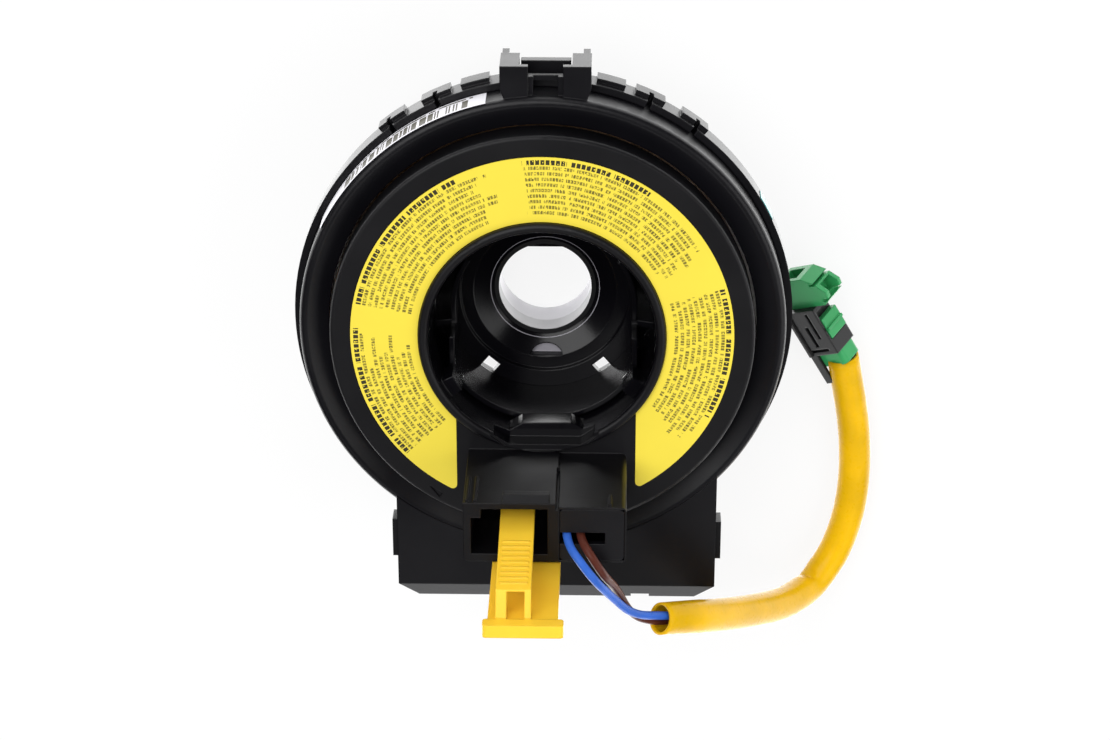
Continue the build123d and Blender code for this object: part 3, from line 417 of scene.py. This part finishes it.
def soft_vinyl(name, colour, roughness, dull, grain=900.0):
    """Extruded vinyl: soft gloss, long faint scuffs and a slightly deeper tone in patches."""
    finish = Finish(name, colour, roughness, ior=1.48, specular_ior_level=0.12, subsurface_weight=0.06)
    finish.shader.inputs["Subsurface Radius"].default_value = (0.0012, 0.0006, 0.0002)
    patches = finish.noise(110.0, 4.0)
    finish.colour(finish.blend(finish.between(patches, 0.3, 0.7), shade(colour, dull), shade(colour, 1.06)))
    scuffs = finish.noise(grain, 4.0)
    finish.rough(finish.between(scuffs, 0.35, 0.75, roughness - 0.05, roughness + 0.14))
    finish.relief(finish.math("ADD", scuffs, finish.math("MULTIPLY", patches, 2.0)), 0.00003)
    return finish


def dress(finish, *nodes):
    """Puts a finish on CAD nodes."""
    for name in nodes:
        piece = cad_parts[name]
        if not piece.material_slots:
            piece.data.materials.append(None)
        for material_slot in piece.material_slots:
            material_slot.material = finish.material


def made_piece(name, bm):
    """An object of a finished bmesh, in the scene."""
    mesh = bpy.data.meshes.new(name)
    bm.to_mesh(mesh)
    bm.free()
    piece = bpy.data.objects.new(name, mesh)
    bpy.context.scene.collection.objects.link(piece)
    return piece


# ------------------------------------------------------------------ bore
def bore_flat(name, radius, flat, low, high):
    """A thin flat across the far side of the bore's upper edge."""
    bm = bmesh.new()
    half = acos(flat / radius)
    pieces = 14
    turns = [pi / 2 - half + 2 * half * index / pieces for index in range(pieces + 1)]
    face = bm.faces.new([bm.verts.new((radius * cos(turn), radius * sin(turn), low)) for turn in turns])
    raised = bmesh.ops.extrude_face_region(bm, geom=[face])["geom"]
    lifted = [item for item in raised if isinstance(item, bmesh.types.BMVert)]
    bmesh.ops.translate(bm, verts=lifted, vec=(0.0, 0.0, high - low))
    bmesh.ops.recalc_face_normals(bm, faces=bm.faces[:])
    return made_piece(name, bm)


# ------------------------------------------------------------------ lead
def metres(points, side=0.0):
    """Route points in metres, moved to one side of the sleeve's centre."""
    return [Vector([p[i] + side * WIRE_SIDE[i] for i in range(3)]) * MM for p in points]


def route_curve(name, points, radius):
    """A smooth open curve through a route, round in section."""
    curve = bpy.data.curves.new(name, "CURVE")
    curve.dimensions = "3D"
    curve.resolution_u = 12
    curve.bevel_depth = radius
    curve.bevel_resolution = 6
    curve.use_fill_caps = radius > 0
    spline = curve.splines.new("NURBS")
    spline.points.add(len(points) - 1)
    for control, point in zip(spline.points, points):
        control.co = (*point, 1.0)
    spline.order_u = 3
    spline.use_endpoint_u = True
    piece = bpy.data.objects.new(name, curve)
    bpy.context.scene.collection.objects.link(piece)
    return piece


def read_route(piece):
    """The points along a curve's own line."""
    mesh = bpy.data.meshes.new_from_object(piece)
    points = [v.co.copy() for v in mesh.vertices]
    bpy.data.meshes.remove(mesh)
    return points


def swept_sleeve(name, points, radius, sides):
    """A thin tube along a line, oval at its mouth and folded on the inside of its tightest turn."""
    bm = bmesh.new()
    mouth_length = 0.012
    mouth_squash = 0.10
    crease_place = 0.505
    crease_length = 0.0035
    crease_depth = 0.34
    crease_side = Vector((-0.55, 0.75, 0.35)).normalized()
    lengths = [0.0]
    for here, after in zip(points, points[1:]):
        lengths.append(lengths[-1] + (after - here).length)
    crease = crease_place * lengths[-1]
    across = Vector((0.0, 0.0, 1.0))
    rings = []
    for index, point in enumerate(points):
        before = points[max(index - 1, 0)]
        after = points[min(index + 1, len(points) - 1)]
        tangent = (after - before).normalized()
        side = across.cross(tangent).normalized()
        across = tangent.cross(side).normalized()
        turn = Matrix((side, across, tangent)).transposed().to_4x4()
        mouth = max(0.0, 1.0 - lengths[index] / mouth_length)
        flat = 1.0 - mouth_squash * mouth
        ring = bmesh.ops.create_circle(
            bm, cap_ends=False, segments=sides, radius=radius,
            matrix=Matrix.Translation(point) @ turn @ Matrix.Diagonal((1.0, flat, 1.0, 1.0)),
        )["verts"]
        fold = max(0.0, 1.0 - abs(lengths[index] - crease) / crease_length)
        for vert in ring:
            out = vert.co - point
            inward = max(0.0, out.normalized().dot(crease_side))
            vert.co -= out * crease_depth * inward ** 3 * fold
        rings.append(ring)
    for pair in zip(rings, rings[1:]):
        edges = set()
        for ring in pair:
            edges.update(e for v in ring for e in v.link_edges if e.other_vert(v) in ring)
        bmesh.ops.bridge_loops(bm, edges=list(edges))
    bmesh.ops.recalc_face_normals(bm, faces=bm.faces[:])
    for face in bm.faces:
        face.smooth = True
    return made_piece(name, bm)


class CLOCKSPRING_OT_case(bpy.types.Operator):
    """Finish the fixed case and what is moulded or stuck to it"""

    bl_idname = "clockspring.case"
    bl_label = "Fixed case"

    def execute(self, context):
        colours = context.scene.plastic_colours
        prints = context.scene.print_colours
        dress(moulded_plastic("case_plastic", tuple(colours.case), 0.36), "stator_housing", "rear_cover")
        dress(bar_label("bar_label_print", tuple(prints.bar_label), tuple(prints.ink)), "side_label")
        dress(moulded_plastic("dab_paint", tuple(prints.dab), 0.3, grain=500.0, depth=0.00003), "paint_mark")
        return {"FINISHED"}


class CLOCKSPRING_OT_disc(bpy.types.Operator):
    """Finish the turning disc, the hub core, the tower's panel and the ring label"""

    bl_idname = "clockspring.disc"
    bl_label = "Turning disc"

    def execute(self, context):
        colours = context.scene.plastic_colours
        prints = context.scene.print_colours
        dress(disc_plastic("disc_plastic", tuple(colours.disc)), "rotor_case")
        polished = core_with_painted_glint("core_with_painted_glint", tuple(colours.disc))
        dress(polished, "hub_core", "hub_cup")
        flat = bore_flat("column_flat", **BORE_FLAT)
        flat.data.materials.append(polished.material)
        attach(flat, "disc")
        # the bush's wall gets a painted reflection
        dress(bush_painted_reflection("bush_painted_reflection", tuple(colours.bush_reflection)), "column_bush")
        panel = moulded_plastic("panel_plastic", tuple(colours.case), 0.42, grain=2600.0, depth=0.00002)
        dress(panel, "lead_cover")
        dress(printed_ring("ring_label_print", tuple(prints.label), tuple(prints.ink)), "warning_label")
        return {"FINISHED"}


class CLOCKSPRING_OT_inside(bpy.types.Operator):
    """Finish the sockets, pins, lead blocks, cam, cable and films"""

    bl_idname = "clockspring.inside"
    bl_label = "Sockets and inner parts"

    def execute(self, context):
        colours = context.scene.plastic_colours
        dress(moulded_plastic("socket_plastic", tuple(colours.inner), 0.4), "main_header", "inflator_header")
        blocks = moulded_plastic("block_plastic", tuple(colours.inner), 0.5)
        dress(blocks, "case_lead_block", "rotor_lead_block")
        dress(moulded_plastic("cam_plastic", (0.30, 0.30, 0.29), 0.45), "cancel_cam")
        tin = tinned_metal("pin_tin", (0.72, 0.70, 0.66))
        dress(tin, "main_header_pins", "inflator_header_pins", "plug_terminals")
        dress(tinned_metal("dull_tin", (0.16, 0.15, 0.14)), "socket_pins")
        dress(slip_film("cable_film", (0.55, 0.27, 0.09), 0.22, metallic=0.6), "flat_cable")
        dress(slip_film("slip_film", (0.72, 0.72, 0.70), 0.35), "lower_film", "upper_film")
        return {"FINISHED"}


class CLOCKSPRING_OT_lock_pin(bpy.types.Operator):
    """Finish the pull-out lock pin"""

    bl_idname = "clockspring.lock_pin"
    bl_label = "Lock pin"

    def execute(self, context):
        colours = context.scene.plastic_colours
        finish = moulded_plastic("lock_plastic", tuple(colours.lock), 0.34, grain=1200.0, soft_edge=0.0004)
        finish.shader.inputs["Subsurface Weight"].default_value = 0.08
        finish.shader.inputs["Subsurface Radius"].default_value = (0.0015, 0.0008, 0.0002)
        dress(finish, "lock_pin")
        return {"FINISHED"}


class CLOCKSPRING_OT_plug(bpy.types.Operator):
    """Finish the inflator plug"""

    bl_idname = "clockspring.plug"
    bl_label = "Inflator plug"

    def execute(self, context):
        colours = context.scene.plastic_colours
        dress(moulded_plastic("plug_black", tuple(shade(colours.inner, 0.25)), 0.33), "plug_body")
        dress(moulded_plastic("plug_green", tuple(colours.plug), 0.36), "plug_cap", "plug_nose", "plug_lock")
        return {"FINISHED"}


class CLOCKSPRING_OT_lead(bpy.types.Operator):
    """Make the two wires and their sleeve"""

    bl_idname = "clockspring.lead"
    bl_label = "Wires and sleeve"

    def execute(self, context):
        lead = context.scene.lead_settings
        ends = {1.0: ["plug_body", "plug_nose", "plug_lock"], -1.0: ["plug_terminals"]}
        shared = SLEEVE_ROUTE[2:-1] + WIRE_END
        wires = (
            ("blue_lead", "blue_wire", BLUE_START, 1.0, tuple(lead.blue), 0.1876),
            ("brown_lead", "brown_wire", BROWN_START, -1.0, tuple(lead.brown), 0.185),
        )
        for name, node, start, side, colour, length in wires:
            points = metres(start) + metres(shared, side)
            wire = route_curve(name, points, lead.wire_d / 2)
            wire.data.materials.append(soft_vinyl(name + "_vinyl", colour, 0.32, 0.8).material)
            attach(wire, "disc")
            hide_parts(node)
            tuple(points[0])
            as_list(ends[side])
        centre = route_curve("sleeve_line", metres(SLEEVE_ROUTE), 0.0)
        points = read_route(centre)
        bpy.data.objects.remove(centre)
        sleeve = swept_sleeve("lead_sleeve", points, lead.sleeve_d / 2, lead.sleeve_sides)
        wall = sleeve.modifiers.new("Wall", "SOLIDIFY")
        wall.thickness = lead.sleeve_wall
        wall.offset = -1.0
        sleeve.data.materials.append(soft_vinyl("sleeve_vinyl", tuple(lead.sleeve), 0.30, 0.82).material)
        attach(sleeve, "disc")
        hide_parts("wire_sleeve")
        tuple(points[0])
        [tuple(p) for p in points]
        return {"FINISHED"}


class CLOCKSPRING_OT_stage(bpy.types.Operator):
    """Set the floor, lamps, surroundings and camera"""

    bl_idname = "clockspring.stage"
    bl_label = "Studio"

    def execute(self, context):
        studio = context.scene.studio_settings
        bm = bmesh.new()
        bmesh.ops.create_grid(bm, x_segments=1, y_segments=1, size=4.0)
        floor = made_piece("floor", bm)
        paper = Finish("floor_paper", tuple(studio.floor), 0.9, specular_ior_level=0.0)
        seen = paper.add("LightPath")
        looks = paper.math("MAXIMUM", seen.outputs["Is Camera Ray"], seen.outputs["Is Glossy Ray"])
        looks = paper.math("MAXIMUM", looks, seen.outputs["Is Transmission Ray"])
        strength = paper.between(seen.outputs["Is Glossy Ray"], 0.0, 1.0, 1.0, studio.floor_gloss)
        glow = paper.add("Emission", {"Color": (1.0, 1.0, 1.0, 1.0), "Strength": strength})
        mix = paper.add("MixShader", {0: paper.math("MULTIPLY", looks, 0.86)})
        paper.tree.links.new(paper.shader.outputs[0], mix.inputs[1])
        paper.tree.links.new(glow.outputs[0], mix.inputs[2])
        paper.tree.links.new(mix.outputs[0], paper.tree.nodes["Material Output"].inputs["Surface"])
        floor.data.materials.append(paper.material)

        # name, place, size, power, and how much of it shows in reflections
        lamps = (
            ("key_softbox", (-0.35, 0.45, 0.95), 0.9, 11.0, 0.12),
            ("fill_softbox", (0.75, -0.10, 0.70), 0.8, 4.6, 0.12),
            ("low_softbox", (0.05, -0.85, 0.55), 0.9, 3.4, 0.12),
            ("back_strip", (0.10, 1.10, 0.42), 0.3, 1.2, 1.0),
        )
        target = Vector((0.0, -0.01, 0.03))
        for name, place, size, power, shine in lamps:
            light = bpy.data.lights.new(name, "AREA")
            light.shape = "SQUARE"
            light.size = size
            light.energy = power * studio.lamp
            light.specular_factor = shine
            lamp = bpy.data.objects.new(name, light)
            lamp.location = place
            lamp.rotation_euler = (target - Vector(place)).to_track_quat("-Z", "Y").to_euler()
            context.scene.collection.objects.link(lamp)

        world = bpy.data.worlds.new("surroundings")
        context.scene.world = world
        world.use_nodes = True
        tree = world.node_tree
        background = tree.nodes["Background"]
        background.inputs["Color"].default_value = (1.0, 1.0, 1.0, 1.0)
        path = tree.nodes.new("ShaderNodeLightPath")
        reflected = tree.nodes.new("ShaderNodeMapRange")
        reflected.inputs["To Min"].default_value = studio.ambient
        reflected.inputs["To Max"].default_value = studio.dark
        tree.links.new(path.outputs["Is Glossy Ray"], reflected.inputs["Value"])
        strength = tree.nodes.new("ShaderNodeMapRange")
        strength.inputs["To Max"].default_value = 1.0
        tree.links.new(reflected.outputs[0], strength.inputs["To Min"])
        tree.links.new(path.outputs["Is Camera Ray"], strength.inputs["Value"])
        tree.links.new(strength.outputs[0], background.inputs["Strength"])

        camera = bpy.data.cameras.new("camera")
        camera.sensor_width = 36.0
        camera.lens = studio.lens
        camera.clip_start = 0.01
        view = bpy.data.objects.new("camera", camera)
        right = Vector((0.99978, 0.0, -0.0209)).normalized()
        back = Vector((0.0191, 0.4088, 0.9124)).normalized()
        up = back.cross(right).normalized()
        right = up.cross(back)
        aim = Vector((2.876, -7.685, 43.0)) * MM
        view.matrix_world = Matrix.Translation(aim + back * studio.distance) @ Matrix(
            (right, up, back)).transposed().to_4x4()
        context.scene.collection.objects.link(view)
        context.scene.camera = view
        context.scene.view_settings.view_transform = "Standard"
        return {"FINISHED"}


MAKERS = (
    CLOCKSPRING_OT_case,
    CLOCKSPRING_OT_disc,
    CLOCKSPRING_OT_inside,
    CLOCKSPRING_OT_lock_pin,
    CLOCKSPRING_OT_plug,
    CLOCKSPRING_OT_lead,
    CLOCKSPRING_OT_stage,
)


class CLOCKSPRING_PT_panel(bpy.types.Panel):
    """Settings and pieces of the clock spring"""

    bl_label = "Clock Spring"
    bl_idname = "CLOCKSPRING_PT_panel"
    bl_space_type = "VIEW_3D"
    bl_region_type = "UI"
    bl_category = "Clock Spring"

    def draw(self, context):
        scene = context.scene
        settings = (scene.plastic_colours, scene.print_colours, scene.lead_settings, scene.studio_settings)
        for group in settings:
            box = self.layout.box()
            for key in group.__annotations__:
                box.prop(group, key)
        for maker in MAKERS:
            self.layout.operator(maker.bl_idname)


GROUPS = (PlasticColours, PrintColours, LeadSettings, StudioSettings)


def register():
    for group in GROUPS:
        bpy.utils.register_class(group)
    for maker in (*MAKERS, CLOCKSPRING_PT_panel):
        bpy.utils.register_class(maker)
    bpy.types.Scene.plastic_colours = PointerProperty(type=PlasticColours)
    bpy.types.Scene.print_colours = PointerProperty(type=PrintColours)
    bpy.types.Scene.lead_settings = PointerProperty(type=LeadSettings)
    bpy.types.Scene.studio_settings = PointerProperty(type=StudioSettings)


def unregister():
    del bpy.types.Scene.studio_settings
    del bpy.types.Scene.lead_settings
    del bpy.types.Scene.print_colours
    del bpy.types.Scene.plastic_colours
    for maker in (CLOCKSPRING_PT_panel, *reversed(MAKERS)):
        bpy.utils.unregister_class(maker)
    for group in reversed(GROUPS):
        bpy.utils.unregister_class(group)


def main():
    register()
    bpy.ops.clockspring.case()
    bpy.ops.clockspring.disc()
    bpy.ops.clockspring.inside()
    bpy.ops.clockspring.lock_pin()
    bpy.ops.clockspring.plug()
    bpy.ops.clockspring.lead()
    bpy.ops.clockspring.stage()


if __name__ == "__main__":
    main()
